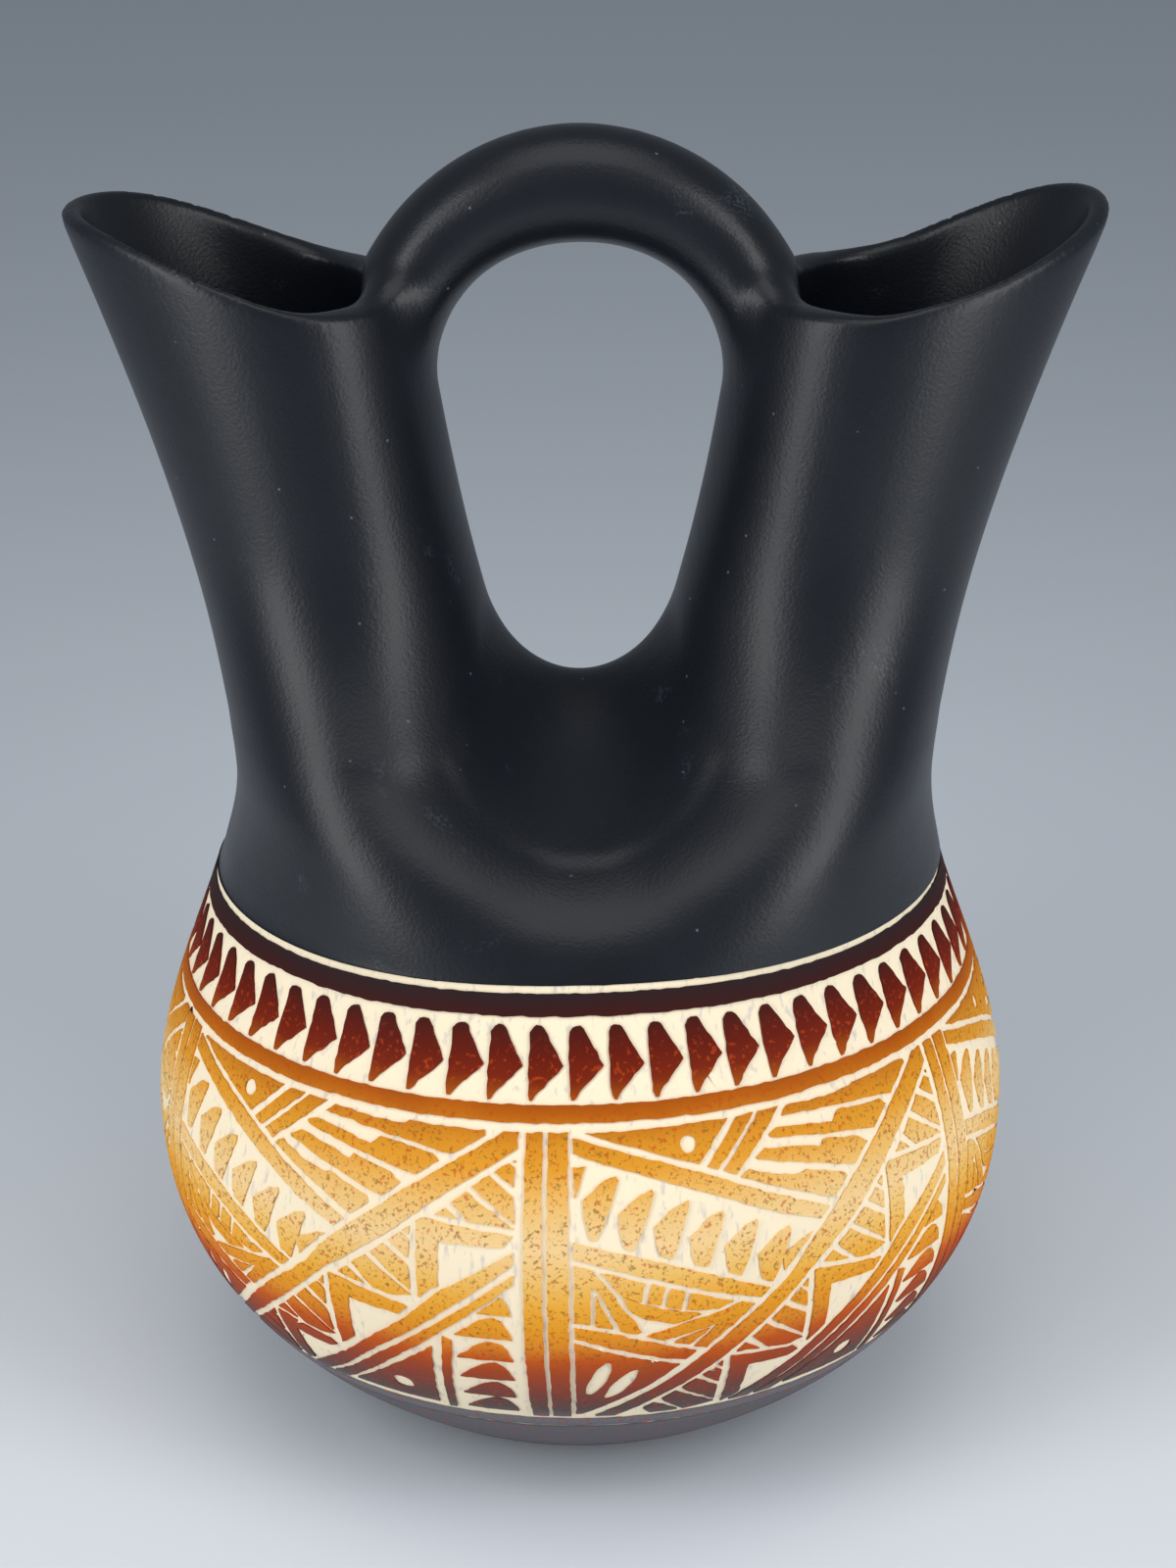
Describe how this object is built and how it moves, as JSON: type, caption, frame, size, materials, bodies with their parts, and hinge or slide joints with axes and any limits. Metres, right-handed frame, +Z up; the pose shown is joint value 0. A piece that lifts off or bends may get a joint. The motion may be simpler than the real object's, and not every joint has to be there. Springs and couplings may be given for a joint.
{
  "type": "wedding vase",
  "caption": "Round ceramic jar with a flat base, its neck divided into paired open spouts that a stirrup handle joins over a teardrop opening.",
  "frame": {"origin": "centre of the flat base, on the surface that the vase stands on", "axes": "+Z up along the jar's axis, +X from the left spout to the right spout, -Y towards the pictured front"},
  "size_m": [0.191, 0.171, 0.254],
  "materials": {
    "black_slip": "satin black slip, burnished and fired",
    "etched_slip": "matte sprayed slip, etched through to the pale clay"
  },
  "bodies": {
    "root": {"base": "black_slip", "lower_bowl": "etched_slip", "upper_bowl": "etched_slip", "shoulder": "black_slip", "right_spout": "black_slip", "left_spout": "black_slip", "handle": "black_slip"}
  },
  "joints": []
}
